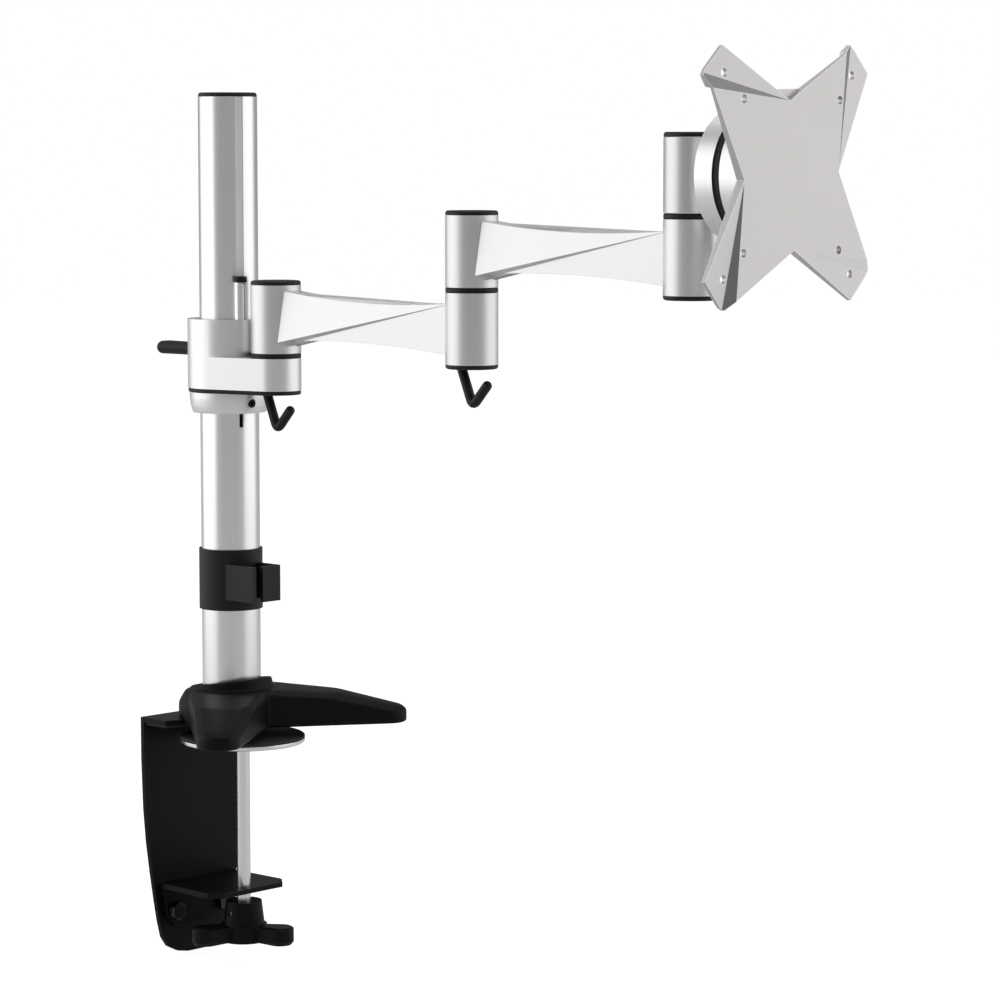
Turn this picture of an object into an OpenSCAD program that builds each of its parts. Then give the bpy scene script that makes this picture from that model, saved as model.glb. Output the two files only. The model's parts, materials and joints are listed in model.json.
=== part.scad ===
// Desk-clamp monitor arm: clamp, V foot, pole, sliding collar, two swinging arms,
// tilting head and a turning screen plate. Millimetres, +Z up, +X out over the desk.
// The origin is on the pole axis, in the plane of the desk top.

/* [Pole] */
// Outer radius of the pole
pole_r = 17; // [16.5:0.1:17.5]
// Wall thickness of the pole
pole_wall = 2; // [1.5:0.1:2.5]
// Height of the pole's open end above the desk
pole_top = 363.7; // [362:0.1:380]

/* [Collar] */
// Outer radius of the collar's sleeve
sleeve_r = 24; // [23:0.1:25]
// Height of the sleeve's top above the desk
sleeve_top = 236.7; // [232:0.1:240]
// Height of the underside of the collar's black cover
collar_z = 194.6; // [190:0.1:196]
// Height of the collar's silver lobe
lobe_h = 18.4; // [16:0.1:20]
// Height of the stop ring below the collar
ring_h = 11.8; // [10:0.1:14]

/* [Arms] */
// Distance from the pole to the first swivel
reach = 39.6; // [39.2:0.1:42]
// Distance between the swivels of one arm
link = 155; // [150:1:180]
// Radius of the swivel barrels
barrel_r = 14.4; // [14:0.1:15]
// Height of one swivel barrel
barrel_h = 38.8; // [38:0.1:40]
// Thickness of the black washers between barrels
washer_t = 2.8; // [2:0.1:3.5]
// Thickness of the black caps on the barrels
cap_t = 2.4; // [2:0.1:3]

/* [Head] */
// Distance from the last swivel to the screen plate's front face
plate_reach = 65.4; // [64:0.1:68]
// Radius of the round tilt discs
disc_r = 34.2; // [32:0.1:35]
// Thickness of the screen plate
plate_t = 5; // [4.5:0.1:5.5]
// Larger square hole spacing of the screen plate
vesa_large = 100; // [100:1:100]
// Smaller square hole spacing of the screen plate
vesa_small = 75; // [75:1:75]
// Radius of the screen plate's holes
vesa_hole_r = 2.25; // [2.2:0.05:2.5]

/* [Clamp] */
// Thickness of the clamp's steel plates
steel_t = 3; // [2.5:0.1:3.5]
// Distance from the pole axis back to the clamp's outer face
spine_x = 36; // [35:0.1:38]
// Half width of the clamp at the desk top
spine_half = 39.3; // [38:0.1:41]
// Depth of the clamp's lowest point below the desk top
spine_depth = 139.4; // [136:0.1:145]
// Depth of the jaw's upper face below the desk top
jaw_z = 95; // [92:0.1:97]
// Gap between the desk plane and the clamp pad, as drawn
pad_gap = 5; // [4.6:0.1:6]
// Radius of the clamp pad
pad_r = 36.3; // [30:0.1:37]
// Distance from the pole axis to the clamp screw
screw_x = 9; // [8:0.1:10]
// Radius of the clamp screw
screw_r = 4.1; // [3.5:0.05:4.3]
// Radius over the wings of the clamp knob
knob_r = 33; // [28:0.1:34]

/* [Foot] */
// Distance from the pole axis to the tip of each leg
leg_reach = 102; // [95:1:110]
// Angle of each leg from the arm's direction
leg_angle = 47; // [44:1:50]
// Height of the foot's collar around the pole
foot_top = 25.5; // [24:0.1:28]

/* [Hidden] */
$fn = 96;
hull_fn = 32;

eps = 0.01;
run_gap = 0.1;
fit_gap = 0.05;

silver = [0.78, 0.77, 0.76];
bright = [0.88, 0.88, 0.88];
black = [0.07, 0.065, 0.06];
steel = [0.6, 0.6, 0.62];
nylon = [0.9, 0.9, 0.85];

// Heights of the stack of swivels
lobe_z = collar_z + cap_t;
lobe_top = lobe_z + lobe_h;
level_1 = lobe_top + washer_t + run_gap;
level_2 = level_1 + barrel_h + washer_t + run_gap;
level_3 = level_2 + barrel_h + washer_t + run_gap;
x_1 = reach;
x_2 = x_1 + link;
x_3 = x_2 + link;
head_z = level_3 + barrel_h / 2;

// Swivel internals
bore_r = 9.5;
bush_wall = 4.45;
pin_r = 5;
bush_h = 9;
pin_root = 16;
web_t = 17;
nut_h = 5;
nut_r = 8;

// Pole slot for the guide key
slot_turn = -19.5;
slot_w = 2.2;
slot_z = 174.7;
groove_w = 4.6;
groove_depth = 0.6;

// Foot and clamp levels
mat_t = 1.6;
mat_floor = 0.4;
flange_top = mat_t + steel_t;
pole_z = 6;

// A round bar along X, from x to x + length
module bar_x(x, y, z, r, length) {
    translate([x, y, z])
        rotate([0, 90, 0])
            cylinder(r = r, h = length);
}

// A round bar along Y, centred on y = 0
module bar_y(x, z, r, length) {
    translate([x, 0, z])
        rotate([90, 0, 0])
            cylinder(r = r, h = length, center = true);
}

// A flat ring standing on z
module ring(outer, inner, z, height) {
    translate([0, 0, z])
        difference() {
            cylinder(r = outer, h = height);
            translate([0, 0, -1])
                cylinder(r = inner, h = height + 2);
        }
}

// ---------- Foot ----------

pad_x = [for (side = [-1, 1]) [cos(leg_angle), side * sin(leg_angle)] * (leg_reach - 14)];

// The foot's collar is cut off at a slant, lower at the back
collar_lean = 9;

// A disc-shaped slice of a leg: distance along it, radius, top height
module leg_slice(along, r, top) {
    soft = 3;
    translate([along, 0, 0.6])
        cylinder(r = r, h = top - soft, $fn = hull_fn);
    translate([along, 0, 0.6])
        cylinder(r = r - soft, h = top - 0.6, $fn = hull_fn);
}

module leg() {
    hull() {
        leg_slice(12, 24, 22);
        leg_slice(50, 18, 19);
    }
    hull() {
        leg_slice(50, 18, 19);
        leg_slice(leg_reach - 12.5, 12.5, 10.4);
    }
}

module flange_outline(grow) {
    step_x = -14;
    inner_half = 22;
    front_x = 24;
    polygon([
        [-spine_x - grow, -spine_half - grow],
        [step_x + grow, -spine_half - grow],
        [step_x + 8 + grow, -inner_half - grow],
        [front_x + grow, -inner_half - grow],
        [front_x + grow, inner_half + grow],
        [step_x + 8 + grow, inner_half + grow],
        [step_x + grow, spine_half + grow],
        [-spine_x - grow, spine_half + grow]
    ]);
}

module foot() {
    color(black)
        difference() {
            union() {
                for (side = [-1, 1])
                    rotate([0, 0, side * leg_angle])
                        leg();
                hull() {
                    translate([0, 0, 0.6])
                        cylinder(r = 31, h = 13, $fn = hull_fn * 2);
                    translate([0, 0, 0.6])
                        cylinder(r = 27, h = 20, $fn = hull_fn * 2);
                }
                cylinder(r1 = 27, r2 = 23, h = foot_top + 5);
            }
            translate([0, 0, foot_top])
                rotate([0, -collar_lean, 0])
                    translate([-40, -40, 0])
                        cube([80, 80, 20]);
            translate([0, 0, -1])
                cylinder(r = pole_r, h = foot_top + 10);
            translate([0, 0, -1])
                linear_extrude(flange_top + 1)
                    flange_outline(0.2);
            for (p = pad_x)
                translate([p[0], p[1], -1])
                    cylinder(r = 6, h = 1 + mat_t);
        }
}

module foot_pads() {
    color(black)
        for (p = pad_x)
            translate([p[0], p[1], 0])
                cylinder(r = 6, h = mat_t);
}

// ---------- Clamp ----------

// The spine's tongue shape, seen along X: half widths down its height
spine_shape = [
    [0, 1], [20, 0.998], [50, 0.97], [70, 0.925], [88, 0.86], [105, 0.79],
    [118, 0.73], [128, 0.665], [134, 0.56], [138, 0.36], [139.4, 0.16]
];

module spine_outline() {
    scale_z = spine_depth / 139.4;
    right = [for (p = spine_shape) [spine_half * p[1], -p[0] * scale_z]];
    left = [for (i = [len(right) - 1:-1:0]) [-right[i][0], right[i][1]]];
    polygon(concat([[spine_half, flange_top]], right, left, [[-spine_half, flange_top]]));
}

// Stands an outline drawn in (Y, Z) up in the plane of X, from x to x + thickness
module upright(x, thickness) {
    translate([x, 0, 0])
        rotate([90, 0, 90])
            linear_extrude(thickness)
                children();
}

jaw_bolt_y = 18.7;
jaw_bolt_z = -112.5;
jaw_bolt_r = 3;
spine_in = -spine_x + steel_t;
jaw_in = spine_in + steel_t;

module clamp_spine() {
    color(black)
        difference() {
            union() {
                upright(-spine_x, steel_t)
                    spine_outline();
                translate([0, 0, mat_t])
                    linear_extrude(steel_t)
                        flange_outline(0);
            }
            translate([0, 0, -1])
                cylinder(r = 4.1, h = 10);
            for (side = [-1, 1])
                bar_x(-spine_x - 1, side * jaw_bolt_y, jaw_bolt_z, jaw_bolt_r, steel_t + 2);
        }
}

module clamp_mat() {
    color(black)
        difference() {
            linear_extrude(mat_t)
                flange_outline(-1.2);
            translate([0, 0, mat_floor])
                cylinder(r = 8, h = mat_t);
            translate([-spine_x - 1, -spine_half - 1, -1])
                cube([steel_t + 1.2, 2 * spine_half + 2, mat_t + 2]);
        }
}

jaw_half = 29.5;
jaw_front = 17.5;
jaw_corner = 6.5;
jaw_drop = 27;

module clamp_jaw() {
    color(black)
        difference() {
            union() {
                translate([0, 0, -jaw_z - steel_t])
                    linear_extrude(steel_t)
                        polygon([
                            [spine_in, -jaw_half + 1], [jaw_front - jaw_corner - 1, -jaw_half],
                            [jaw_front, -jaw_half + jaw_corner], [jaw_front, jaw_half - jaw_corner],
                            [jaw_front - jaw_corner - 1, jaw_half], [spine_in, jaw_half - 1]
                        ]);
                upright(spine_in, steel_t)
                    polygon([
                        [-jaw_half + 1, -jaw_z], [jaw_half - 1, -jaw_z],
                        [jaw_half - 5, -jaw_z - jaw_drop + 6], [jaw_half - 11, -jaw_z - jaw_drop],
                        [-jaw_half + 11, -jaw_z - jaw_drop], [-jaw_half + 5, -jaw_z - jaw_drop + 6]
                    ]);
            }
            translate([screw_x, 0, -jaw_z - steel_t - 1])
                cylinder(r = 6, h = steel_t + 2);
            for (side = [-1, 1])
                bar_x(spine_in - 1, side * jaw_bolt_y, jaw_bolt_z, jaw_bolt_r, steel_t + 2);
        }
}

module jaw_bolts() {
    head_h = 4;
    color(steel)
        for (side = [-1, 1]) {
            bar_x(-spine_x, side * jaw_bolt_y, jaw_bolt_z, jaw_bolt_r, 2 * steel_t);
            translate([jaw_in, side * jaw_bolt_y, jaw_bolt_z])
                rotate([0, 90, 0])
                    cylinder(r = 5.6, h = head_h, $fn = 6);
        }
}

module jaw_bush() {
    color(steel)
        translate([screw_x, 0, -jaw_z - steel_t])
            ring(6, screw_r + fit_gap, 0, steel_t);
}

rubber_t = 2;
plate_rim = 2.6;
pad_base = -pad_gap - rubber_t - plate_rim;

module pad_plate() {
    color(bright)
        translate([screw_x, 0, 0])
            difference() {
                union() {
                    translate([0, 0, pad_base])
                        cylinder(r = pad_r, h = plate_rim);
                    translate([0, 0, pad_base - 3])
                        cylinder(r1 = 8, r2 = 10, h = 3 + eps);
                }
                translate([0, 0, pad_base - 4])
                    cylinder(r = screw_r + fit_gap, h = plate_rim + 5);
            }
}

module pad_rubber() {
    color(black)
        translate([screw_x, 0, -pad_gap - rubber_t])
            difference() {
                cylinder(r = pad_r, h = rubber_t);
                translate([0, 0, -1])
                    cylinder(r = 7, h = rubber_t + 0.4);
            }
}

module pad_rivet() {
    color(steel)
        translate([screw_x, 0, -pad_gap - rubber_t])
            cylinder(r = 6.5, h = 1.2);
}

knob_top = -103.4;
wing_top = -116.5;
knob_base = -127;
hub_r = 10.5;

knob_pin_r = 1.5;
knob_pin_z = (knob_top + wing_top) / 2;

module clamp_screw() {
    top = -pad_gap - rubber_t;
    color(bright)
        difference() {
            translate([screw_x, 0, knob_base + 4])
                cylinder(r = screw_r, h = top - knob_base - 4 - run_gap);
            bar_y(screw_x, knob_pin_z, knob_pin_r, 2 * hub_r);
        }
}

module knob_pin() {
    color(steel)
        bar_y(screw_x, knob_pin_z, knob_pin_r, 2 * hub_r - 1);
}

module clamp_knob() {
    wings = 3;
    wing_turn = 15;
    disc_r = 13.5;
    color(black)
        translate([screw_x, 0, 0])
            difference() {
                union() {
                    translate([0, 0, knob_base])
                        cylinder(r = disc_r, h = wing_top - knob_base - 0.6);
                    translate([0, 0, wing_top - 4])
                        cylinder(r1 = hub_r + 2, r2 = hub_r, h = knob_top - wing_top + 4);
                    for (i = [0:wings - 1])
                        rotate([0, 0, wing_turn + 360 * i / wings])
                            hull() {
                                translate([disc_r / 2, 0, knob_base + 0.8])
                                    cylinder(r = 5.5, h = wing_top - knob_base - 2.2, $fn = 16);
                                translate([knob_r - 8, 0, knob_base])
                                    cylinder(r = 6.5, h = wing_top - knob_base, $fn = 16);
                                translate([knob_r - 8, 0, knob_base + 2])
                                    cylinder(r = 8, h = wing_top - knob_base - 3, $fn = 16);
                            }
                }
                translate([0, 0, knob_base + 4])
                    cylinder(r = screw_r, h = knob_top - knob_base);
                bar_y(0, knob_pin_z, knob_pin_r, 2 * hub_r + 2);
            }
}

// ---------- Pole ----------

module pole() {
    color(bright)
        difference() {
            ring(pole_r, pole_r - pole_wall, pole_z, pole_top - pole_z);
            rotate([0, 0, slot_turn]) {
                translate([0, -slot_w / 2, slot_z])
                    cube([pole_r + 1, slot_w, lobe_top - slot_z]);
                translate([pole_r - groove_depth, -groove_w / 2, lobe_z])
                    cube([2, groove_w, pole_top - lobe_z + 1]);
            }
        }
}

module pole_cap() {
    plug_h = 8;
    plug_wall = 1.6;
    color(black) {
        translate([0, 0, pole_top]) {
            cylinder(r = pole_r - 0.2, h = cap_t - 0.8);
            translate([0, 0, cap_t - 0.8])
                cylinder(r1 = pole_r - 0.2, r2 = pole_r - 1.2, h = 0.8);
        }
        ring(pole_r - pole_wall, pole_r - pole_wall - plug_wall, pole_top - plug_h, plug_h + eps);
    }
}

module pole_plug() {
    color(steel)
        ring(pole_r - pole_wall, 4, pole_z, 24);
}

module pole_bolt() {
    color(steel) {
        translate([0, 0, mat_floor])
            cylinder(r = 7, h = mat_t - mat_floor);
        translate([0, 0, mat_t - eps])
            cylinder(r = 4, h = 24);
    }
}

// ---------- Cord clip ----------

clip_z = 68.5;
clip_h = 35.2;
clip_r = 18.4;
clip_jaw_z = 75;
clip_jaw_h = 20.7;
clip_near = -14.5;
clip_far = 6.8;
clip_out = 34.8;
clip_wall = 2.5;
clip_slit = 5;

module clip_side(y) {
    start = 8;
    translate([start, y, clip_jaw_z])
        cube([clip_out - start, clip_wall, clip_jaw_h]);
}

module cord_clip() {
    lip_y = clip_near + clip_wall + clip_slit;
    color(black)
        difference() {
            union() {
                translate([0, 0, clip_z])
                    cylinder(r = clip_r, h = clip_h);
                clip_side(clip_near);
                clip_side(clip_far - clip_wall);
                translate([clip_out - clip_wall, lip_y, clip_jaw_z])
                    cube([clip_wall, clip_far - lip_y, clip_jaw_h]);
            }
            translate([0, 0, clip_z - 1])
                cylinder(r = pole_r + fit_gap, h = clip_h + 2);
        }
}

// ---------- Collar ----------

ring_z = collar_z - ring_h - run_gap;

ring_screw_turn = -8;

module stop_ring() {
    set_z = ring_z + ring_h / 2;
    color(silver)
        difference() {
            rotate_extrude()
                polygon([
                    [pole_r + fit_gap, ring_z], [21, ring_z], [21.6, ring_z + 1],
                    [22.4, ring_z + 4], [23, ring_z + 8], [23.2, ring_z + ring_h],
                    [pole_r + fit_gap, ring_z + ring_h]
                ]);
            rotate([0, 0, ring_screw_turn])
                bar_x(pole_r - 1, 0, set_z, 2.5, 10);
        }
}

module ring_screw() {
    set_z = ring_z + ring_h / 2;
    color(black)
        rotate([0, 0, ring_screw_turn])
            difference() {
                bar_x(pole_r + fit_gap + 0.1, 0, set_z, 2.5, 5.6);
                translate([pole_r + 4, 0, set_z])
                    rotate([0, 90, 0])
                        cylinder(r = 1.4, h = 3, $fn = 6);
            }
}

// The outline shared by the collar's lobe and its cover: two rounds and the flanks
// that touch both
module lobe(z, height, inset) {
    big = sleeve_r - inset;
    small = barrel_r - inset;
    turn = acos((big - small) / reach);
    touch = 0.999 * [cos(turn), sin(turn)];
    translate([0, 0, z]) {
        cylinder(r = big, h = height);
        translate([reach, 0, 0])
            cylinder(r = small, h = height);
        linear_extrude(height)
            polygon([
                [0, 0], [big * touch[0], -big * touch[1]],
                [reach + small * touch[0], -small * touch[1]],
                [reach + small * touch[0], small * touch[1]],
                [big * touch[0], big * touch[1]]
            ]);
    }
}

liner_t = 1.9;
key_r = 3.5;
key_turn = -23.5;
key_at = 20.4 * [cos(key_turn), sin(key_turn)];
key_h = 24.8;
key_cap_h = 3.4;
lock_z = 218;
lock_hole_r = 3;
lock_screw_r = 2.95;

module collar() {
    bottom = lobe_z - 1;
    color(silver)
        difference() {
            union() {
                lobe(lobe_z, lobe_h, 0);
                translate([0, 0, lobe_z])
                    cylinder(r = sleeve_r, h = sleeve_top - lobe_z);
            }
            translate([0, 0, bottom])
                cylinder(r = pole_r + fit_gap + liner_t, h = sleeve_top);
            translate([reach, 0, bottom])
                cylinder(r = pin_r, h = lobe_h + 2);
            translate([reach, 0, bottom])
                cylinder(r = nut_r + 1, h = 1 + nut_h);
            bar_x(-sleeve_r - 1, 0, lock_z, lock_hole_r, 8);
        }
}

module collar_bush() {
    color(nylon)
        difference() {
            ring(pole_r + fit_gap + liner_t, pole_r + fit_gap, lobe_z, sleeve_top - lobe_z - 1);
            bar_x(-sleeve_r - 1, 0, lock_z, lock_hole_r, 12);
        }
}

module collar_cover() {
    color(black)
        difference() {
            lobe(collar_z, cap_t, 0.3);
            translate([0, 0, collar_z - 1])
                cylinder(r = pole_r + 0.6, h = cap_t + 2);
        }
}

// A hook bent like a V, hung from the point (x, 0, z)
module v_hook(x, z) {
    rod = 2.7;
    path = [[-7.6, 0.4], [0.6, -20], [11.6, -8.6]];
    translate([x, 0, z])
        difference() {
            for (i = [0, 1])
                hull()
                    for (p = [path[i], path[i + 1]])
                        translate([p[0], 0, p[1]])
                            sphere(r = rod, $fn = 24);
            translate([-20, -10, 0])
                cube([40, 20, 10]);
        }
}

module collar_hook() {
    color(black)
        v_hook(x_1, collar_z);
}

module arm_hook() {
    color(black)
        v_hook(x_2, level_1 - cap_t);
}

module guide_key() {
    color(bright)
        translate([key_at[0], key_at[1], sleeve_top])
            difference() {
                cylinder(r = key_r, h = key_h - key_cap_h);
                translate([-key_at[0], -key_at[1], -1])
                    cylinder(r = pole_r + 0.3, h = key_h);
            }
}

module guide_key_cap() {
    color(black)
        translate([key_at[0], key_at[1], sleeve_top + key_h - key_cap_h])
            difference() {
                cylinder(r = key_r + 0.3, h = key_cap_h);
                translate([-key_at[0], -key_at[1], -1])
                    cylinder(r = pole_r + 0.3, h = key_cap_h + 2);
            }
}

module lock_screw() {
    color(steel)
        bar_x(-sleeve_r - 8, 0, lock_z, lock_screw_r, 8 + sleeve_r - pole_r - 1);
}

module lock_lever() {
    half_t = 3.8;
    near_x = -sleeve_r - 3;
    far_x = -58.5 + half_t;
    color(black)
        difference() {
            union() {
                hull() {
                    bar_x(near_x - 9, 0, lock_z, half_t, 9, $fn = hull_fn);
                    for (side = [-1, 1])
                        translate([far_x, side * 2.6, lock_z])
                            sphere(r = half_t, $fn = hull_fn);
                }
                bar_x(near_x, 0, lock_z, half_t - 0.3, 2.6);
            }
            bar_x(-sleeve_r - 8, 0, lock_z, lock_screw_r, 12);
        }
}

// ---------- Swivels ----------

// A threaded pin standing in the barrel or lobe below a swivel
module pin_at(x, z) {
    top = z + barrel_h - cap_t - 0.6;
    color(steel)
        translate([x, 0, z - washer_t - pin_root])
            cylinder(r = pin_r, h = top - z + washer_t + pin_root);
}

module washer_at(x, z) {
    color(black)
        translate([x, 0, 0])
            ring(barrel_r - 0.1, pin_r + 0.2, z - washer_t - run_gap, washer_t);
}

module nut_at(x, z) {
    color(steel)
        translate([x, 0, z + barrel_h - cap_t - nut_h - 1])
            difference() {
                cylinder(r = nut_r, h = nut_h, $fn = 6);
                translate([0, 0, -1])
                    cylinder(r = pin_r, h = nut_h + 2);
            }
}

// Two flanged nylon bushes that let a barrel turn on its pin
module bushes_at(x, z) {
    top_bush = z + barrel_h - cap_t - nut_h - 1.4 - bush_h;
    color(nylon)
        translate([x, 0, 0])
            for (low = [z, top_bush])
                ring(bore_r, bore_r - bush_wall, low, bush_h);
}

// A domed black cap with a skirt pressed into the barrel's mouth
module cap_at(x, z, up) {
    skirt = 2;
    color(black)
        translate([x, 0, z])
            mirror([0, 0, up ? 0 : 1]) {
                cylinder(r = barrel_r - 0.1, h = cap_t - 0.7);
                translate([0, 0, cap_t - 0.7])
                    cylinder(r1 = barrel_r - 0.1, r2 = barrel_r - 1, h = 0.7);
                ring(bore_r, bore_r - 1.2, -skirt, skirt + eps);
            }
}

// ---------- Arms ----------

// Each edge of the blade is a shallow curve: a + b * u + c * u * u along its length
top_edge = [36, -15.2, 12];
low_edge = [7.2, 8.7, -11.7];
blade_half = 6;
blade_steps = 16;
function curve(e, u) = e[0] + e[1] * u + e[2] * u * u;

// The crease runs from low at the first barrel to high at the second
crease_start = [11.6, 6.6];
crease_end = [link - 14, 31.8];
facet_proud = 3.4;
facet_skin = 0.2;
facet_drop = 0.5;
wall_slope = 0.55;

module blade_outline() {
    start = 10;
    run = link - 20;
    upper = [for (i = [0:blade_steps]) [start + run * i / blade_steps, curve(top_edge, i / blade_steps)]];
    lower = [for (i = [blade_steps:-1:0]) [start + run * i / blade_steps, curve(low_edge, i / blade_steps)]];
    polygon(concat(upper, lower));
}

// The slab above the crease: proud at the crease's low end, nearly flush elsewhere
module facet(side) {
    start = 13.4;
    run = crease_end[0] - start;
    rise = curve(top_edge, 0) - crease_start[1];
    lean = facet_proud / rise;
    taper = (facet_proud - lean * (crease_end[1] - crease_start[1])) / (crease_end[0] - crease_start[0]);
    function out(p) = blade_half + facet_skin + facet_proud
        - lean * (p[1] - crease_start[1]) - taper * (p[0] - crease_start[0]);
    upper = [for (i = [blade_steps:-1:0])
        [start + run * i / blade_steps, curve(top_edge, i / blade_steps) - facet_drop]];
    outline = concat([crease_start, crease_end], upper);
    n = len(outline);
    root = blade_half - 2;
    points = concat(
        [for (i = [0:n - 1]) [outline[i][0], side * root,
            outline[i][1] - (i < 2 ? wall_slope * (out(outline[i]) - root) : 0)]],
        [for (p = outline) [p[0], side * out(p), p[1]]]
    );
    walls = [for (i = [0:n - 1]) [i, (i + 1) % n, n + (i + 1) % n, n + i]];
    lids = [[for (i = [n - 1:-1:0]) i], [for (i = [0:n - 1]) n + i]];
    faces = concat(walls, lids);
    polyhedron(points, side > 0 ? faces : [for (f = faces) [for (i = [len(f) - 1:-1:0]) f[i]]]);
}

// One arm: its first barrel turns on the pin below, its second carries the next pin
module arm_at(x, z) {
    web_z = barrel_h - web_t;
    color(silver)
        translate([x, 0, z])
            difference() {
                union() {
                    cylinder(r = barrel_r, h = barrel_h);
                    translate([link, 0, 0])
                        cylinder(r = barrel_r, h = barrel_h);
                    translate([0, blade_half, 0])
                        rotate([90, 0, 0])
                            linear_extrude(2 * blade_half)
                                blade_outline();
                    for (side = [-1, 1])
                        facet(side);
                }
                translate([0, 0, -1])
                    cylinder(r = bore_r, h = barrel_h + 2);
                translate([link, 0, -1])
                    cylinder(r = bore_r, h = web_z + 1);
                translate([link, 0, web_z - 1])
                    cylinder(r = pin_r, h = web_t + 2);
            }
}

// ---------- Head ----------

tilt_x = x_3 + 21.4;
disc_back = x_3 + 29.4;
disc_t = 12.5;
brake_t = 4.2;
front_x = x_3 + plate_reach;
plate_back = front_x - plate_t;
brake_x = disc_back + disc_t;
front_back = brake_x + brake_t + run_gap;
tongue_half = 6;
tongue_r = 7.4;
lug_gap = 0.3;
lug_t = 4.6;
lug_r = 7.4;
tilt_r = 4;
hub_bolt_r = 5;
screw_ring = 23;
screw_hole_r = 2;
screw_deep = 8;

module head() {
    color(silver)
        difference() {
            union() {
                translate([x_3, 0, level_3])
                    cylinder(r = barrel_r, h = barrel_h);
                translate([x_3, -tongue_half, head_z - tongue_r])
                    cube([tilt_x - x_3, 2 * tongue_half, 2 * tongue_r]);
                bar_y(tilt_x, head_z, tongue_r, 2 * tongue_half);
            }
            translate([x_3, 0, level_3 - 1])
                cylinder(r = bore_r, h = barrel_h + 2);
            bar_y(tilt_x, head_z, tilt_r, 40);
        }
}

module tilt_bolt() {
    shank = tongue_half + lug_gap + lug_t + 0.3;
    color(steel) {
        translate([tilt_x, shank + 5, head_z])
            rotate([90, 0, 0])
                cylinder(r = tilt_r, h = 2 * shank + 5);
        translate([tilt_x, -shank, head_z])
            rotate([90, 0, 0])
                cylinder(r = 6.5, h = 4);
    }
}

module tilt_nut() {
    color(steel)
        translate([tilt_x, tongue_half + lug_gap + lug_t + 0.3 + 4.4, head_z])
            rotate([90, 0, 0])
                difference() {
                    cylinder(r = 6.8, h = 4.4, $fn = 6);
                    translate([0, 0, -1])
                        cylinder(r = tilt_r, h = 7);
                }
}

module rear_disc() {
    rim_round = 1.2;
    wall = 4;
    color(silver)
        difference() {
            union() {
                bar_x(disc_back + rim_round, 0, head_z, disc_r, disc_t - rim_round);
                translate([disc_back, 0, head_z])
                    rotate([0, 90, 0])
                        cylinder(r1 = disc_r - rim_round, r2 = disc_r, h = rim_round + eps);
                for (side = [-1, 1])
                    translate([tilt_x, side * (tongue_half + lug_gap + lug_t / 2), head_z])
                        rotate([90, 0, 0])
                            cylinder(r = lug_r, h = lug_t, center = true);
                for (side = [-1, 1])
                    translate([tilt_x, side * (tongue_half + lug_gap + lug_t / 2) - lug_t / 2, head_z - lug_r])
                        cube([disc_back - tilt_x + 1, lug_t, 2 * lug_r]);
            }
            bar_y(tilt_x, head_z, tilt_r + fit_gap, 40);
            bar_x(disc_back + wall, 0, head_z, disc_r - wall, disc_t - 2 * wall);
            bar_x(disc_back - 1, 0, head_z, hub_bolt_r, disc_t + 2);
        }
}

module centre_bolt() {
    color(steel) {
        bar_x(disc_back + 4, 0, head_z, 8, 4);
        bar_x(disc_back + 6, 0, head_z, hub_bolt_r, plate_back - disc_back - 9);
    }
}

module friction_ring() {
    color(black)
        bar_ring_x(brake_x, disc_r - 0.8, 8, brake_t);
}

// A flat ring around the head's axis
module bar_ring_x(x, outer, inner, thickness) {
    difference() {
        bar_x(x, 0, head_z, outer, thickness);
        bar_x(x - 1, 0, head_z, inner, thickness + 2);
    }
}

module front_disc() {
    well = 7;
    color(silver)
        difference() {
            bar_x(front_back, 0, head_z, disc_r - 0.3, plate_back - front_back);
            bar_x(front_back - 1, 0, head_z, hub_bolt_r + fit_gap, 20);
            bar_x(plate_back - well, 0, head_z, 14, well + 1);
            translate([0, 0, head_z])
                for (i = [0:3])
                    rotate([45 + 90 * i, 0, 0])
                        bar_x(plate_back - screw_deep, screw_ring, 0, screw_hole_r, screw_deep + 1);
        }
}

module centre_nut() {
    color(steel)
        translate([plate_back - 6.7, 0, head_z])
            rotate([0, 90, 0])
                difference() {
                    union() {
                        cylinder(r = 12.5, h = 1.2);
                        cylinder(r = 8.5, h = 6, $fn = 6);
                    }
                    translate([0, 0, -1])
                        cylinder(r = hub_bolt_r + fit_gap, h = 9);
                }
}

module plate_screws() {
    color(steel)
        translate([0, 0, head_z])
            for (i = [0:3])
                rotate([45 + 90 * i, 0, 0])
                    bar_x(plate_back - screw_deep, screw_ring, 0, screw_hole_r, screw_deep + plate_t / 2);
}

// Screen plate: a four-armed pinwheel. One arm is drawn in (Y, Z) and turned.
waist = [37, 2];
arm_corner = [42.6, 61];
tip_corner = [49.9, 65];
outer_corner = [63.3, 51];
facet_low = 3.2;
facet_low_outer = 2.4;
back_rise = 3;

module pinwheel() {
    for (i = [0:3])
        rotate([0, 0, 90 * i])
            polygon([
                [0, 0], waist, outer_corner, tip_corner + [1.6, -1.2],
                tip_corner + [-1.2, 0.2], arm_corner, [-waist[1], waist[0]]
            ]);
}

// Cuts an arm's outer facet back from the main face: a wall slopes down from the line
// between waist and arm corner, and the facet sinks towards the tip
module facet_cut() {
    over = 1.25;
    a = waist + (arm_corner - waist) * over;
    b = waist + (tip_corner - waist) * over;
    o = waist + (outer_corner + [5, -4] - waist) * over;
    polyhedron(
        [
            [plate_t + 0.02, waist[0], waist[1]],
            [plate_t + 0.02, a[0], a[1]],
            [plate_t - facet_low * over, b[0], b[1]],
            [plate_t - facet_low_outer * over, o[0], o[1]],
            [plate_t + 0.02, o[0], o[1]]
        ],
        [[0, 1, 4], [1, 0, 2], [2, 0, 3], [3, 0, 4], [4, 1, 3], [3, 1, 2]]
    );
}

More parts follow.
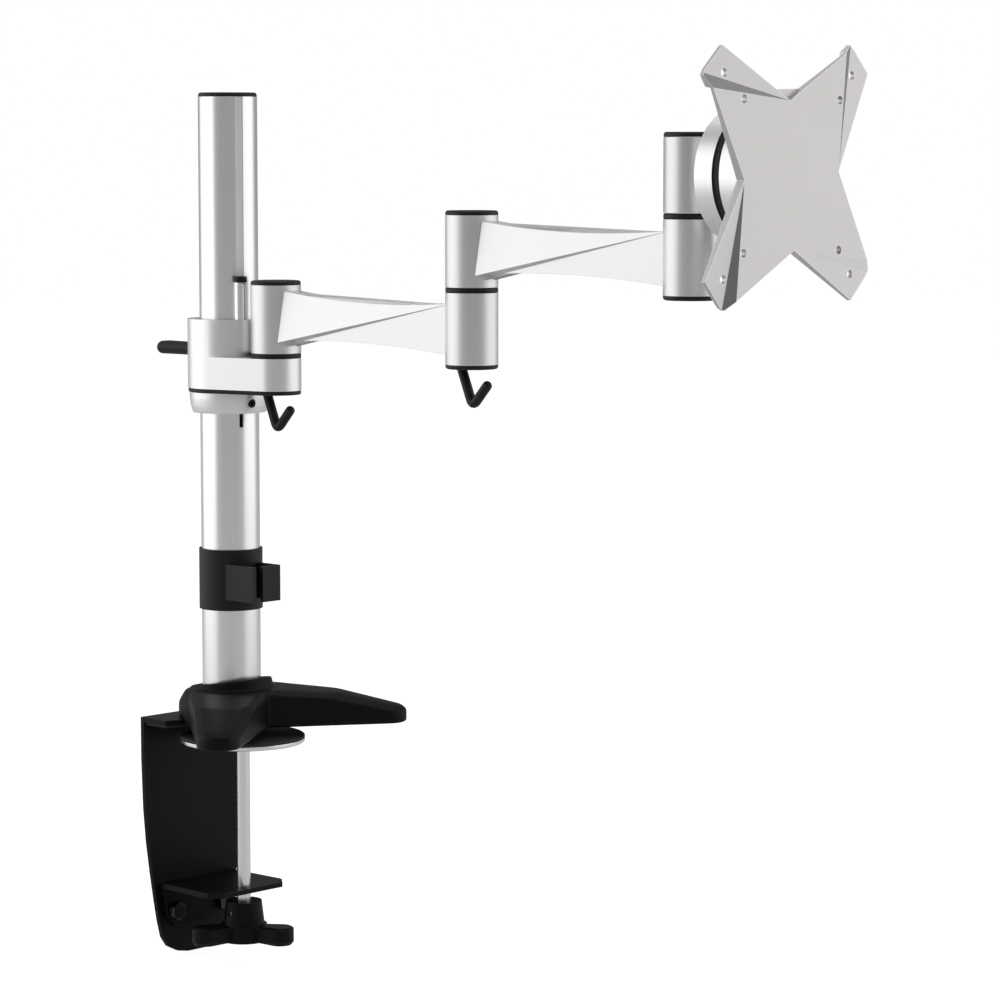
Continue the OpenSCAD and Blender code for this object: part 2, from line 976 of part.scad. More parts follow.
// The slant that thins the back of an arm's main part towards its corner
module back_slant() {
    over = 1.04;
    next_waist = [-waist[1], waist[0]];
    c = waist + (arm_corner + [0.4, 0] - waist) * over;
    polyhedron(
        [
            [-0.02, next_waist[0], next_waist[1]], [-0.02, waist[0], waist[1]],
            [-0.02, c[0], c[1]], [back_rise * over, c[0], c[1]]
        ],
        [[0, 1, 2], [1, 0, 3], [2, 1, 3], [0, 2, 3]]
    );
}

module screen_plate() {
    color(silver)
        translate([plate_back, 0, head_z])
            difference() {
                union() {
                    rotate([90, 0, 90])
                        linear_extrude(plate_t)
                            pinwheel();
                    rotate([90, 0, 90])
                        linear_extrude(plate_t / 2)
                            polygon([[0, 30], [8, 43], [-12.5, 42.5]]);
                }
                for (i = [0:3])
                    rotate([90 * i, 0, 0]) {
                        facet_cut();
                        back_slant();
                        for (spacing = [vesa_small, vesa_large])
                            translate([-1, spacing / 2, spacing / 2])
                                rotate([0, 90, 0])
                                    cylinder(r = vesa_hole_r, h = plate_t + 2);
                    }
                for (i = [0:3])
                    rotate([45 + 90 * i, 0, 0])
                        bar_x(-1, screw_ring, 0, screw_hole_r, 1 + plate_t / 2);
            }
}

foot();
foot_pads();
clamp_spine();
clamp_mat();
clamp_jaw();
jaw_bolts();
jaw_bush();
pole();
pole_cap();
pole_plug();
pole_bolt();
pad_plate();
pad_rubber();
pad_rivet();
clamp_screw();
clamp_knob();
knob_pin();
cord_clip();
stop_ring();
ring_screw();
collar();
collar_bush();
collar_cover();
collar_hook();
guide_key();
guide_key_cap();
lock_lever();
lock_screw();
pin_at(x_1, level_1);  // pin_1
washer_at(x_1, level_1);  // washer_1
nut_at(x_1, level_1);  // pin_nut_1
arm_at(x_1, level_1);  // arm_1
bushes_at(x_1, level_1);  // bushes_1
cap_at(x_1, level_1 + barrel_h, true);  // cap_1
cap_at(x_2, level_1, false);  // end_cap_1
arm_hook();
pin_at(x_2, level_2);  // pin_2
washer_at(x_2, level_2);  // washer_2
nut_at(x_2, level_2);  // pin_nut_2
arm_at(x_2, level_2);  // arm_2
bushes_at(x_2, level_2);  // bushes_2
cap_at(x_2, level_2 + barrel_h, true);  // cap_2
cap_at(x_3, level_2, false);  // end_cap_2
pin_at(x_3, level_3);  // pin_3
washer_at(x_3, level_3);  // washer_3
nut_at(x_3, level_3);  // pin_nut_3
head();
bushes_at(x_3, level_3);  // bushes_3
cap_at(x_3, level_3 + barrel_h, true);  // cap_3
tilt_bolt();
tilt_nut();
rear_disc();
centre_bolt();
friction_ring();
front_disc();
centre_nut();
plate_screws();
screen_plate();
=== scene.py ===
# %% [markdown]
# # A desk-clamp monitor arm
# The real object is a stand for one screen. A steel clamp grips the edge of a desk, a
# V-shaped foot spreads the load, and an aluminium pole carries a collar, two swinging
# arms and a tilting head with a pinwheel-shaped screen plate.
# The CAD model is loaded first. It fixes every size and place, and the pieces made
# below are fitted round it, so that each of them can ride on the CAD body it belongs to.

# %% Load the frame
import json
import math
import bpy
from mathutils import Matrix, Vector


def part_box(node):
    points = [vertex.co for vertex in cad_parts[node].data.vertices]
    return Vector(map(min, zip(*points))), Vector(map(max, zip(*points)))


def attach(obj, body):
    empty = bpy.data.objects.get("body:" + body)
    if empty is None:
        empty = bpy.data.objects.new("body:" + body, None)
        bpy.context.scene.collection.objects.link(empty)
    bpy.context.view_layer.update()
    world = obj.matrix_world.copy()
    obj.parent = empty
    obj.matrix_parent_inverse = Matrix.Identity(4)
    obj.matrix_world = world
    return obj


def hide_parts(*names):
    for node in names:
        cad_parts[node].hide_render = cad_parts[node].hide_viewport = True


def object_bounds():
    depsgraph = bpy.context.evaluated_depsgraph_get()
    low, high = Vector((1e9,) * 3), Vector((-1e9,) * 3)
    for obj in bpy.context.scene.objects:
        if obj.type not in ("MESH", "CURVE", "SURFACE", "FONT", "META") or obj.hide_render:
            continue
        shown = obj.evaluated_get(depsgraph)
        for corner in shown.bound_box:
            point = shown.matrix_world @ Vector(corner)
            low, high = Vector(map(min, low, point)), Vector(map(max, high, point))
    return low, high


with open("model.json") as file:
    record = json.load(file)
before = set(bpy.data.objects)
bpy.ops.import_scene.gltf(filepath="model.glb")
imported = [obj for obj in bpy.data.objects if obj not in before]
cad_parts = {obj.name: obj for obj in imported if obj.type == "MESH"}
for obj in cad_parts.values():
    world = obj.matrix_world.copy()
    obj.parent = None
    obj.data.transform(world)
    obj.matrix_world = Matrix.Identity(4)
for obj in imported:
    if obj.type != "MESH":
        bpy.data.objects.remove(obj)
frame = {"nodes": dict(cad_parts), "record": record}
cad_box = [list(corner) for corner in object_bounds()]
print("CAD nodes:", len(frame["nodes"]), "box:", cad_box)

# %% [markdown]
# ## Camera
# A long lens from a couple of metres away keeps the pole's sides nearly parallel. The
# camera stands in front and to one side, so it sees the screen plate's face and the
# whole length of both arms.

# %% Camera
camera = bpy.data.objects.new("camera", bpy.data.cameras.new("camera"))
bpy.context.scene.collection.objects.link(camera)
camera.location = (1.5230, -1.3787, 0.3367)
camera.rotation_euler = (math.pi / 2 - 0.1, 0, math.radians(43.48))
camera.data.sensor_width = 36
camera.data.lens = 127.7
bpy.context.scene.camera = camera
bpy.context.scene.view_settings.view_transform = "Standard"
print("camera stands at", tuple(camera.location))

# %% [markdown]
# ## Studio
# Metal shows mostly what stands round it. A grey room with a few large soft lights gives
# the barrels their upright bands of light and dark, and a pale floor lights the
# undersides. The room looks white to the camera, as a plain studio backdrop does.

# %% Helpers for a clean selection
def clear_selection():
    if bpy.context.object and bpy.context.object.mode != "OBJECT":
        bpy.ops.object.mode_set(mode="OBJECT")
    bpy.ops.object.select_all(action="DESELECT")


def only(piece):
    clear_selection()
    piece.select_set(True)
    bpy.context.view_layer.objects.active = piece


# %% Room
world = bpy.data.worlds.new("room")
bpy.context.scene.world = world
world.use_nodes = True
room = world.node_tree
for node in list(room.nodes):
    room.nodes.remove(node)
room_out = room.nodes.new("ShaderNodeOutputWorld")
seen = room.nodes.new("ShaderNodeBackground")
seen.inputs["Color"].default_value = (1, 1, 1, 1)
seen.inputs["Strength"].default_value = 1.0
felt = room.nodes.new("ShaderNodeBackground")
felt.inputs["Color"].default_value = (1, 1, 1, 1)
felt.inputs["Strength"].default_value = 0.30
ray = room.nodes.new("ShaderNodeLightPath")
pick = room.nodes.new("ShaderNodeMixShader")
room.links.new(ray.outputs["Is Camera Ray"], pick.inputs["Fac"])
room.links.new(felt.outputs[0], pick.inputs[1])
room.links.new(seen.outputs[0], pick.inputs[2])
room.links.new(pick.outputs[0], room_out.inputs["Surface"])

# %% Floor
clear_selection()
floor_z = cad_box[0][2] - 0.0005
bpy.ops.mesh.primitive_circle_add(vertices=64, radius=9, fill_type="NGON", location=(0.2, 0, floor_z))
floor = bpy.context.object
floor.name = "floor"
floor_paint = bpy.data.materials.new("floor_paint")
floor_paint.use_nodes = True
floor_tree = floor_paint.node_tree
floor_shader = floor_tree.nodes["Principled BSDF"]
floor_shader.inputs["Base Color"].default_value = (0.30, 0.30, 0.30, 1)
floor_shader.inputs["Roughness"].default_value = 0.9
floor_shader.inputs["Specular IOR Level"].default_value = 0.0
floor_shader.inputs["Emission Color"].default_value = (1, 1, 1, 1)
floor_ray = floor_tree.nodes.new("ShaderNodeLightPath")
floor_glow = floor_tree.nodes.new("ShaderNodeMath")
floor_glow.operation = "MULTIPLY_ADD"
floor_glow.inputs[1].default_value = 0.60
floor_glow.inputs[2].default_value = 0.34
floor_tree.links.new(floor_ray.outputs["Is Camera Ray"], floor_glow.inputs[0])
floor_tree.links.new(floor_glow.outputs[0], floor_shader.inputs["Emission Strength"])
floor.data.materials.append(floor_paint)

# %% Lights
def soft_light(name, place, size, power, aim=(0.2, 0, 0.2)):
    """A large flat light that faces the object."""
    light = bpy.data.objects.new(name, bpy.data.lights.new(name, "AREA"))
    light.data.shape = "RECTANGLE"
    light.data.size, light.data.size_y = size
    light.data.energy = power
    bpy.context.scene.collection.objects.link(light)
    light.location = place
    light.rotation_euler = (Vector(aim) - Vector(place)).to_track_quat("-Z", "Y").to_euler()
    return light


soft_light("left_light", (-0.98, -1.02, 0.70), (2.2, 1.7), 14, (0.2, 0, 0.5))
soft_light("right_light", (1.28, 1.18, 0.70), (2.1, 1.7), 10.5, (0.2, 0, 0.5))
soft_light("top_light", (0.1, 0.2, 2.2), (2.0, 2.0), 16)

# %% [markdown]
# ## Effects shared by the finishes
# Brushing, casting grain and painted edge light show up on several of the finishes, so each is
# a node group with its own sliders. A group puts out a mask, and the material decides
# what to do with it. The patterns read Object coordinates, in metres, because every piece
# sits at the origin and the pattern then stays fixed to it at its real scale.

# %% Node group helper
def new_group(name, inputs, outputs):
    """A shader node group with (name, kind, start value) inputs and named float outputs."""
    group = bpy.data.node_groups.new(name, "ShaderNodeTree")
    for label, kind, value in inputs:
        socket = group.interface.new_socket(label, in_out="INPUT", socket_type=kind)
        socket.default_value = value
    for label in outputs:
        group.interface.new_socket(label, in_out="OUTPUT", socket_type="NodeSocketFloat")
    return group, group.nodes.new("NodeGroupInput"), group.nodes.new("NodeGroupOutput")


def math_node(tree, what, a, b=None, clamp=False):
    """A Math node; a and b are sockets or numbers."""
    node = tree.nodes.new("ShaderNodeMath")
    node.operation = what
    node.use_clamp = clamp
    for socket, value in zip(node.inputs, (a, b)):
        if isinstance(value, bpy.types.NodeSocket):
            tree.links.new(value, socket)
        elif value is not None:
            socket.default_value = value
    return node.outputs[0]


# %% Fine lines: noise squeezed along one axis
lines_group, g_in, g_out = new_group(
    "fine_lines", [("Stretch", "NodeSocketVector", (30, 30, 2600))], ["Lines"])
where = lines_group.nodes.new("ShaderNodeTexCoord")
squeeze = lines_group.nodes.new("ShaderNodeVectorMath")
squeeze.operation = "MULTIPLY"
lines_noise = lines_group.nodes.new("ShaderNodeTexNoise")
lines_noise.inputs["Scale"].default_value = 1
lines_noise.inputs["Detail"].default_value = 3
lines_group.links.new(where.outputs["Object"], squeeze.inputs[0])
lines_group.links.new(g_in.outputs["Stretch"], squeeze.inputs[1])
lines_group.links.new(squeeze.outputs[0], lines_noise.inputs["Vector"])
lines_group.links.new(lines_noise.outputs["Fac"], g_out.inputs["Lines"])

# %% Grain: a fine and a broad mottling
grain_group, g_in, g_out = new_group(
    "surface_grain", [("Fine Scale", "NodeSocketFloat", 2500.0), ("Broad Scale", "NodeSocketFloat", 25.0)],
    ["Fine", "Broad"])
where = grain_group.nodes.new("ShaderNodeTexCoord")
for source, target in (("Fine Scale", "Fine"), ("Broad Scale", "Broad")):
    noise = grain_group.nodes.new("ShaderNodeTexNoise")
    noise.inputs["Detail"].default_value = 2
    grain_group.links.new(where.outputs["Object"], noise.inputs["Vector"])
    grain_group.links.new(g_in.outputs[source], noise.inputs["Scale"])
    grain_group.links.new(noise.outputs["Fac"], g_out.inputs[target])

# %% Painted edge light: a mask where the rounded normal leaves the flat one
edge_group, g_in, g_out = new_group("painted_edge_light", [("Width", "NodeSocketFloat", 0.0006)], ["Edge"])
rounded = edge_group.nodes.new("ShaderNodeBevel")
rounded.samples = 4
flat = edge_group.nodes.new("ShaderNodeNewGeometry")
compare = edge_group.nodes.new("ShaderNodeVectorMath")
compare.operation = "DOT_PRODUCT"
edge_group.links.new(g_in.outputs["Width"], rounded.inputs["Radius"])
edge_group.links.new(rounded.outputs[0], compare.inputs[0])
edge_group.links.new(flat.outputs["Normal"], compare.inputs[1])
away = math_node(edge_group, "SUBTRACT", 1.0, compare.outputs["Value"])
edge_group.links.new(math_node(edge_group, "MULTIPLY", away, 7.0, clamp=True), g_out.inputs["Edge"])
print("node groups:", [g.name for g in bpy.data.node_groups])

# %% [markdown]
# ## Finishes
# The silver parts are anodised aluminium. The round ones were turned, so their faint
# lines run round the axis; the arms and the plate were blasted, which leaves a fine even
# grain. The black parts are powder-coated steel, a black casting, and moulded plastic.
# Each finish mixes its colour from two close shades with the grain mask, paints a highlight
# or a shade line along the edges, varies the roughness and adds a shallow bump.

# %% Material helper
def finish(name, dark, light, roughness, metallic=0.0, stretch=None, fine=2500.0, broad=25.0,
           edge=0.0, edge_color=(1, 1, 1), edge_width=0.0006, swing=0.08, bump=0.00001, coat=0.0,
           specular=0.5):
    """A material with two shades, lines or grain, painted edge light and varied roughness."""
    material = bpy.data.materials.new(name)
    material.use_nodes = True
    tree = material.node_tree
    shader = tree.nodes["Principled BSDF"]
    grain = tree.nodes.new("ShaderNodeGroup")
    grain.node_tree = grain_group
    grain.inputs["Fine Scale"].default_value = fine
    grain.inputs["Broad Scale"].default_value = broad
    pattern = grain.outputs["Fine"]
    if stretch:
        lines = tree.nodes.new("ShaderNodeGroup")
        lines.node_tree = lines_group
        lines.inputs["Stretch"].default_value = stretch
        pattern = lines.outputs["Lines"]
    shade = tree.nodes.new("ShaderNodeMix")
    shade.data_type = "RGBA"
    shade.inputs["A"].default_value = (*dark, 1)
    shade.inputs["B"].default_value = (*light, 1)
    both = math_node(tree, "MULTIPLY_ADD", pattern, 0.65)
    both.node.inputs[2].default_value = 0.0
    tree.links.new(math_node(tree, "MULTIPLY", grain.outputs["Broad"], 0.35), both.node.inputs[2])
    tree.links.new(both, shade.inputs["Factor"])
    colour = shade.outputs["Result"]
    # Painted edge light: the edge colour is mixed in along the edges. A colour lighter than the surface is
    # a painted highlight, a darker one a painted shade line.
    if edge:
        edge_light_mask = tree.nodes.new("ShaderNodeGroup")
        edge_light_mask.node_tree = edge_group
        edge_light_mask.inputs["Width"].default_value = edge_width
        edge_light_mix = tree.nodes.new("ShaderNodeMix")
        edge_light_mix.data_type = "RGBA"
        edge_light_mix.inputs["B"].default_value = (*edge_color, 1)
        tree.links.new(math_node(tree, "MULTIPLY", edge_light_mask.outputs["Edge"], edge), edge_light_mix.inputs["Factor"])
        tree.links.new(colour, edge_light_mix.inputs["A"])
        colour = edge_light_mix.outputs["Result"]
    tree.links.new(colour, shader.inputs["Base Color"])
    rough = math_node(tree, "MULTIPLY_ADD", both, swing)
    rough.node.inputs[2].default_value = roughness - swing / 2
    tree.links.new(rough, shader.inputs["Roughness"])
    height = tree.nodes.new("ShaderNodeBump")
    height.inputs["Distance"].default_value = bump
    height.inputs["Strength"].default_value = 0.6
    tree.links.new(pattern, height.inputs["Height"])
    tree.links.new(height.outputs["Normal"], shader.inputs["Normal"])
    shader.inputs["Metallic"].default_value = metallic
    shader.inputs["Specular IOR Level"].default_value = specular
    shader.inputs["Coat Weight"].default_value = coat
    shader.inputs["Coat Roughness"].default_value = 0.2
    return material


# %% Silver finishes
# The white edge colours on the aluminium finishes are a painted highlight along the edges.
satin = finish("satin_aluminium", (0.62, 0.612, 0.605), (0.72, 0.712, 0.705), 0.40, 1.0,
               fine=2200, edge=0.6, swing=0.06, bump=0.000015)
turned_x = finish("turned_aluminium", (0.74, 0.732, 0.725), (0.88, 0.872, 0.865), 0.40, 1.0,
                  stretch=(1300, 25, 25), edge=0.5, swing=0.08, bump=0.000004)
# The blasted arms get a darker edge colour: a painted shade line outlining the arms.
blasted = finish("blasted_aluminium", (0.66, 0.65, 0.648), (0.78, 0.77, 0.768), 0.42, 1.0,
                 fine=1700, edge=0.5, edge_color=(0.5, 0.49, 0.48), swing=0.08, bump=0.00002)
plate_silver = finish("plate_aluminium", (0.50, 0.485, 0.475), (0.64, 0.625, 0.615), 0.46, 1.0,
                      fine=1300, edge=0.8, swing=0.10, bump=0.00003)
# Painted shade and a painted highlight for the plate's facet walls: darker and lighter copies of the plate
# metal.
plate_wall_shade = finish("plate_wall_painted_shade", (0.22, 0.212, 0.207), (0.30, 0.29, 0.285), 0.46, 1.0,
                    fine=1300, swing=0.10, bump=0.00003)
plate_wall_highlight = finish("plate_wall_painted_highlight", (0.88, 0.87, 0.865), (0.96, 0.95, 0.945), 0.46, 1.0,
                     fine=1300, swing=0.10, bump=0.00003)
sleeve = finish("sleeve_aluminium", (0.76, 0.75, 0.743), (0.86, 0.85, 0.843), 0.40, 1.0,
                fine=2200, edge=0.5, swing=0.06, bump=0.000015)
bright_tube = finish("bright_aluminium", (0.80, 0.79, 0.785), (0.88, 0.875, 0.87), 0.30, 1.0,
                     stretch=(900, 900, 12), edge=0.3, swing=0.06, bump=0.000004)
plated = finish("plated_steel", (0.78, 0.78, 0.775), (0.88, 0.88, 0.875), 0.26, 1.0,
                stretch=(900, 900, 12), swing=0.05, bump=0.000002)
zinc = finish("zinc_steel", (0.36, 0.36, 0.37), (0.52, 0.52, 0.53), 0.34, 1.0,
              fine=1500, broad=120, edge=0.5, swing=0.12)

dark_bolt = finish("blackened_steel", (0.03, 0.03, 0.03), (0.07, 0.068, 0.066), 0.36, 1.0,
                   fine=1500, broad=120, edge=0.5, edge_color=(0.45, 0.44, 0.43), swing=0.12)

# %% Black and white finishes
# The grey edge colours on the black finishes are a painted highlight along the edges.
powder = finish("powder_coat", (0.002, 0.0017, 0.0016), (0.0055, 0.0048, 0.0044), 0.44,
                fine=1400, edge=0.10, edge_color=(0.22, 0.21, 0.20), swing=0.12, bump=0.00005,
                specular=0.13)
casting = finish("coated_casting", (0.002, 0.0017, 0.0016), (0.006, 0.0052, 0.0048), 0.46,
                 fine=1000, edge=0.06, edge_color=(0.22, 0.21, 0.20), edge_width=0.001, swing=0.12,
                 bump=0.00006, specular=0.12)
moulded = finish("moulded_black", (0.005, 0.0043, 0.004), (0.012, 0.0105, 0.0096), 0.46,
                 fine=2600, edge=0.06, edge_color=(0.3, 0.29, 0.28), swing=0.10, bump=0.00003,
                 specular=0.26)
rubbery = finish("black_rubber", (0.008, 0.008, 0.008), (0.018, 0.018, 0.018), 0.75,
                 fine=1600, swing=0.10, bump=0.00004)
nylon = finish("natural_nylon", (0.72, 0.70, 0.62), (0.82, 0.80, 0.72), 0.5, fine=900, swing=0.1)
print("materials:", [m.name for m in bpy.data.materials])

# %% [markdown]
# ## From CAD node to finished piece
# CAD edges are perfectly sharp, and nothing real is. Where a CAD shape is already right,
# a copy of it is merged, its flat faces are cleaned of spare triangles, and a small
# bevel catches the light along its edges. The CAD node is then hidden, and still does
# the colliding in the physics model.

# %% Helpers: finish, copy and soften
slot_of = {part["node"]: part["material_slot"] for part in frame["record"]["subparts"]}
bodies = frame["record"]["behaviour"]["bodies"]
body_of_node = {node: body for body, nodes in bodies.items() for node in nodes}


def put_on(piece, node, material, *more):
    """Gives a finished piece its material, its body and the nodes it stands for."""
    piece.data.materials.clear()
    piece.data.materials.append(material)
    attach(piece, body_of_node[node])
    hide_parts(node, *more)
    print(piece.name, len(piece.data.polygons), "faces")
    return piece


def apply_modifiers(piece):
    only(piece)
    for modifier in list(piece.modifiers):
        bpy.ops.object.modifier_apply(modifier=modifier.name)


def bevelled(piece, width, segments=2, limit=32, smooth=38):
    """Rounds every edge sharper than limit degrees, then shades what is flatter than smooth."""
    bevel = piece.modifiers.new("edges", "BEVEL")
    bevel.width = width
    bevel.segments = segments
    bevel.limit_method = "ANGLE"
    bevel.angle_limit = math.radians(limit)
    apply_modifiers(piece)
    bpy.ops.object.shade_smooth_by_angle(angle=math.radians(smooth))
    weigh = piece.modifiers.new("shading", "WEIGHTED_NORMAL")
    weigh.keep_sharp = True
    weigh.weight = 80
    apply_modifiers(piece)
    return piece


def copy_node(node):
    """A merged copy of a CAD node, as an object of its own."""
    clear_selection()
    piece = bpy.data.objects.new(node + "_piece", frame["nodes"][node].data.copy())
    bpy.context.scene.collection.objects.link(piece)
    only(piece)
    bpy.ops.object.mode_set(mode="EDIT")
    bpy.ops.mesh.select_all(action="SELECT")
    bpy.ops.mesh.remove_doubles(threshold=0.000005)
    bpy.ops.mesh.dissolve_limited(angle_limit=math.radians(0.3))
    bpy.ops.object.mode_set(mode="OBJECT")
    return piece


def softened(node, material, width=0.0004, segments=2, limit=32, smooth=38):
    return put_on(bevelled(copy_node(node), width, segments, limit, smooth), node, material)


# %% Nodes that keep their CAD shape, with a bevel
for node, material, width in (
        ("clamp_spine", powder, 0.0007), ("clamp_jaw", powder, 0.0007), ("clamp_mat", rubbery, 0.0004),
        ("clamp_knob", powder, 0.0007), ("cord_clip", moulded, 0.0006), ("pole", bright_tube, 0.0003),
        ("stop_ring", sleeve, 0.0003), ("collar", sleeve, 0.0005), ("collar_cover", moulded, 0.0005),
        ("arm_1", blasted, 0.0004), ("arm_2", blasted, 0.0004), ("head", satin, 0.0005),
        ("rear_disc", turned_x, 0.0005), ("front_disc", turned_x, 0.0005),
        ("guide_key", bright_tube, 0.0002),
        ("guide_key_cap", moulded, 0.0003), ("jaw_bolts", dark_bolt, 0.0004),
        ("lock_lever", moulded, 0.0002)):
    softened(node, material, width)

# The plate has shallow facets with crisp creases. The studio lights alone leave the steep
# walls beside them too even, so the walls get painted shade, and those facing down a painted
# highlight instead. That is painted light: a real plate has one finish all over.
wall_from, wall_to = 0.8, 0.985
facing_down = -0.15
plate = softened("screen_plate", plate_silver, 0.0002, 1, 60, 1.5)
plate.data.materials.append(plate_wall_shade)
plate.data.materials.append(plate_wall_highlight)
# Facet walls get painted shade, and the ones facing down a painted highlight.
for face in plate.data.polygons:
    if wall_from < face.normal.x < wall_to:
        face.material_index = 2 if face.normal.z < facing_down else 1

# %% [markdown]
# ## Foot
# The foot is one aluminium casting with a black coat. Casting leaves no sharp inner
# corners: the legs, the boss round the pole and the walls all run into each other. A
# voxel remesh turns the CAD shape into an even skin, and smoothing that skin melts the
# corners into fillets, as the mould maker's cutter does.

# %% Foot
skin_size = 0.0009
foot = copy_node("foot")
remesh = foot.modifiers.new("skin", "REMESH")
remesh.mode = "VOXEL"
remesh.voxel_size = skin_size
melt = foot.modifiers.new("melt", "SMOOTH")
melt.factor = 0.5
melt.iterations = 14
apply_modifiers(foot)
bpy.ops.object.shade_smooth()
put_on(foot, "foot", casting)

# %% [markdown]
# ## Turned pieces
# Caps, washers, rings and the clamp's pad are all round, so each is a small outline spun
# once round its axis, as a lathe or a round mould would give it. The outline starts as a
# single point and is drawn by extruding it from corner to corner. Drawing the outline
# allows the small steps and dishes that a plain cylinder doesn't have.

# %% Spin helper
def drawn(name, points):
    """A chain of edges through the points, with the last one left selected."""
    clear_selection()
    bpy.ops.mesh.primitive_plane_add(size=0.001)
    piece = bpy.context.object
    piece.name = name
    bpy.ops.object.mode_set(mode="EDIT")
    bpy.ops.mesh.select_all(action="SELECT")
    bpy.ops.mesh.merge(type="CENTER")
    bpy.ops.transform.translate(value=points[0])
    for here, there in zip(points, points[1:]):
        step = Vector(there) - Vector(here)
        bpy.ops.mesh.extrude_region_move(TRANSFORM_OT_translate={"value": step})
    return piece


def turned(name, outline, centre, axis="Z", steps=96, edge=0.0003):
    """Spins a closed outline of (radius, height) corners round an axis through centre."""
    corners = [(r, 0, h) for r, h in outline + outline[:1]]
    piece = drawn(name, corners)
    bpy.ops.mesh.select_all(action="SELECT")
    bpy.ops.mesh.spin(steps=steps, angle=2 * math.pi, center=(0, 0, 0), axis=(0, 0, 1))
    bpy.ops.mesh.select_all(action="SELECT")
    bpy.ops.mesh.remove_doubles(threshold=0.000002)
    bpy.ops.mesh.delete_loose()
    bpy.ops.mesh.select_all(action="SELECT")
    bpy.ops.mesh.normals_make_consistent(inside=False)
    bpy.ops.object.mode_set(mode="OBJECT")
    piece.rotation_euler = {"Z": (0, 0, 0), "X": (0, math.pi / 2, 0)}[axis]
    piece.location = centre
    bpy.ops.object.transform_apply(location=True, rotation=True, scale=True)
    return bevelled(piece, edge, 2)


def middle(node):
    low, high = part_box(node)
    return (low + high) / 2, low, high


# %% Caps on the barrels and the pole
def cap_on(node, thick, skirt_r, up=True):
    """A moulded cap: a skirt inside the tube, a flat rim and a faintly dished face."""
    centre, low, high = middle(node)
    rim = (high.x - low.x) / 2
    skirt = high.z - low.z - thick
    face = [(rim - 0.0008, thick), (rim * 0.72, thick), (rim * 0.66, thick - 0.0003), (0, thick - 0.0003)]
    outline = [(0, -skirt), (skirt_r, -skirt), (skirt_r, 0), (rim, 0), (rim, thick - 0.0009)] + face
    base = high.z - thick if up else low.z + thick
    outline = [(r, h if up else -h) for r, h in outline]
    piece = turned(node + "_piece", outline, (centre.x, centre.y, base))
    return put_on(piece, node, moulded)


for node in ("cap_1", "cap_2", "cap_3"):
    cap_on(node, 0.0024, 0.0095)
for node in ("end_cap_1", "end_cap_2"):
    cap_on(node, 0.0024, 0.0095, up=False)
cap_on("pole_cap", 0.0024, 0.015)

# %% Washers between the barrels
for node in ("washer_1", "washer_2", "washer_3"):
    centre, low, high = middle(node)
    rim = (high.x - low.x) / 2
    tall = high.z - low.z
    outline = [(0.0054, 0), (rim - 0.0005, 0), (rim, 0.0004), (rim, tall - 0.0004),
               (rim - 0.0005, tall), (0.0054, tall)]
    put_on(turned(node + "_piece", outline, (centre.x, centre.y, low.z)), node, moulded)

# %% Brake ring in the tilting head
centre, low, high = middle("friction_ring")
rim, wide = (high.z - low.z) / 2, high.x - low.x
outline = [(0.009, 0), (rim - 0.0006, 0), (rim, 0.0005), (rim, wide - 0.0005),
           (rim - 0.0006, wide), (0.009, wide)]
ring = turned("friction_ring_piece", outline, (low.x, centre.y, centre.z), "X", 128)
put_on(ring, "friction_ring", moulded)

# %% Clamp pad: a plated steel dish with a rubber face
centre, low, high = middle("pad_plate")
rim = (high.x - low.x) / 2
lip = high.z - low.z - 0.003
outline = [(0.0044, 0), (0.008, 0), (0.0095, 0.003), (rim - 0.006, 0.0028), (rim - 0.001, 0.003),
           (rim, 0.0036), (rim, 0.003 + lip), (0.0044, 0.003 + lip)]
put_on(turned("pad_plate_piece", outline, (centre.x, centre.y, low.z), "Z", 128), "pad_plate", plated)
centre, low, high = middle("pad_rubber")
rim, thick = (high.x - low.x) / 2, high.z - low.z
outline = [(0.0068, 0), (rim, 0), (rim, thick - 0.0007), (rim - 0.001, thick), (0.0, thick), (0.0, 0.0013),
           (0.0068, 0.0013)]
put_on(turned("pad_rubber_piece", outline, (centre.x, centre.y, low.z), "Z", 128), "pad_rubber", rubbery)

# %% [markdown]
# ## Cord hooks
# Under the collar and under the middle swivel hangs a hook for cords. It is one round rod
# bent like a V with blunt ends. The path is drawn point by point, with extra points
# round the bend, turned into a curve with a round section, and made a mesh again. A
# thinner radius at the last points rounds off the ends.

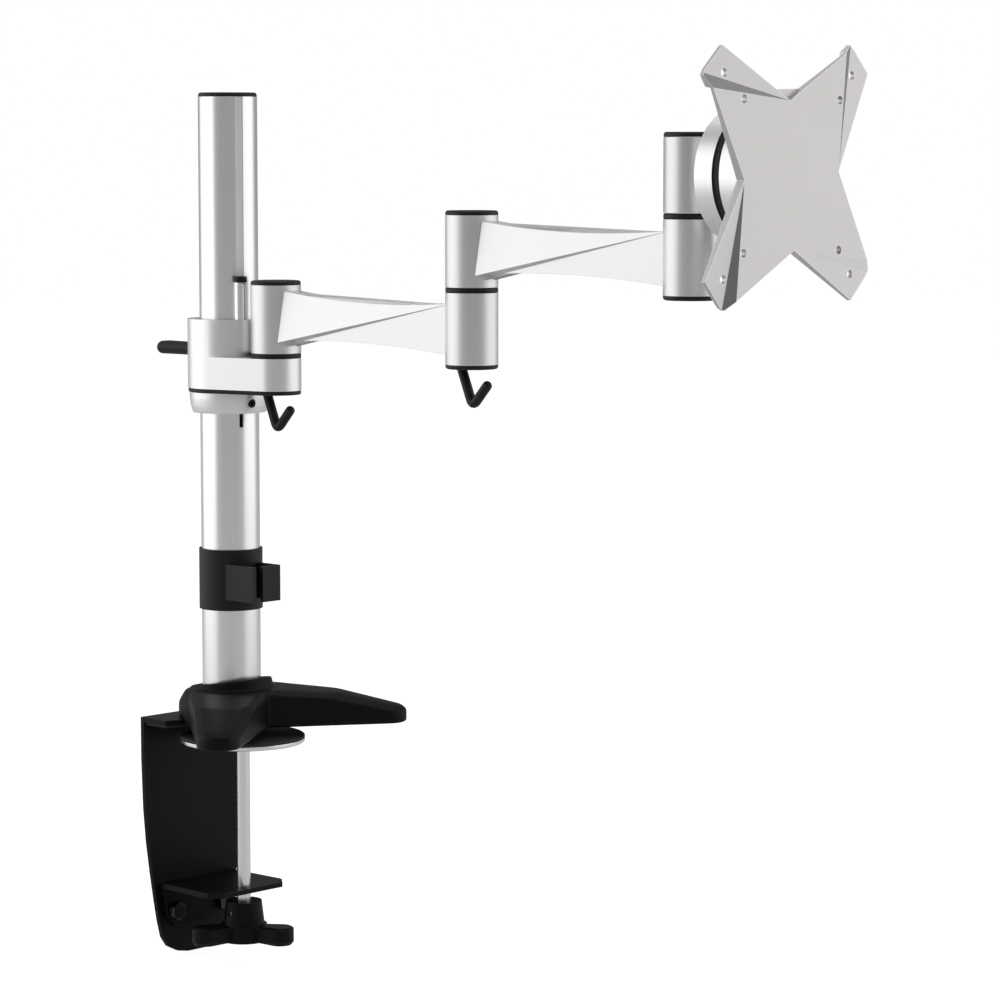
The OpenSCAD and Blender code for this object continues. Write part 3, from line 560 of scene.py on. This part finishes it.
# %% Hooks
def bent_rod(name, corners, radius, bend):
    """A round rod through three corners in a plane, with a soft bend at the middle one."""
    start, knee, tip = (Vector(c) for c in corners)
    into, out_of = (knee - start).normalized(), (tip - knee).normalized()
    path = [start, start + into * radius * 0.5]
    for i in range(9):
        t = i / 8
        path.append((knee - into * bend) * (1 - t) ** 2 + knee * 2 * t * (1 - t)
                    + (knee + out_of * bend) * t ** 2)
    path += [tip + out_of * radius * reach for reach in (0, 0.4, 0.7, 0.9, 1.0)]
    piece = drawn(name, path)
    bpy.ops.object.mode_set(mode="OBJECT")
    bpy.ops.object.convert(target="CURVE")
    shape = bpy.context.object.data
    shape.bevel_depth = radius
    shape.bevel_resolution = 6
    shape.use_fill_caps = True
    line = shape.splines[0].points
    if (line[0].co.xyz - start).length > 0.0001:
        line_end = list(range(5))
    else:
        line_end = list(range(len(line) - 1, len(line) - 6, -1))
    for index, share in zip(line_end, (0.05, 0.44, 0.72, 0.92, 1.0)):
        line[index].radius = share
    bpy.ops.object.convert(target="MESH")
    piece = bpy.context.object
    bpy.ops.object.transform_apply(location=True, rotation=True, scale=True)
    bpy.ops.object.shade_smooth()
    return piece


for node in ("collar_hook", "arm_hook"):
    centre, low, high = middle(node)
    hang = Vector((high.x - 0.0143, centre.y, high.z))
    corners = [hang + Vector(c) for c in ((-0.0076, 0, 0), (0.0008, 0, -0.0204), (0.0114, 0, -0.0088))]
    put_on(bent_rod(node + "_piece", corners, 0.0027, 0.0045), node, moulded)

# %% [markdown]
# ## Pieces that stay as the CAD made them
# Pins, bushes, nuts and bolts hide inside the joints. Their CAD shapes are right, so they
# keep their meshes and only get the finish of the real part.

# %% Materials for the remaining CAD nodes
finish_of_slot = {"satin_aluminium": satin, "bright_aluminium": bright_tube, "black_plastic": moulded,
                  "black_steel": powder, "steel": zinc, "nylon": nylon, "rubber": rubbery,
                  "plated_steel": plated}
for node, part in frame["nodes"].items():
    part.data.materials.clear()
    part.data.materials.append(powder if node == "jaw_bush" else finish_of_slot[slot_of[node]])
print("finished every CAD node")
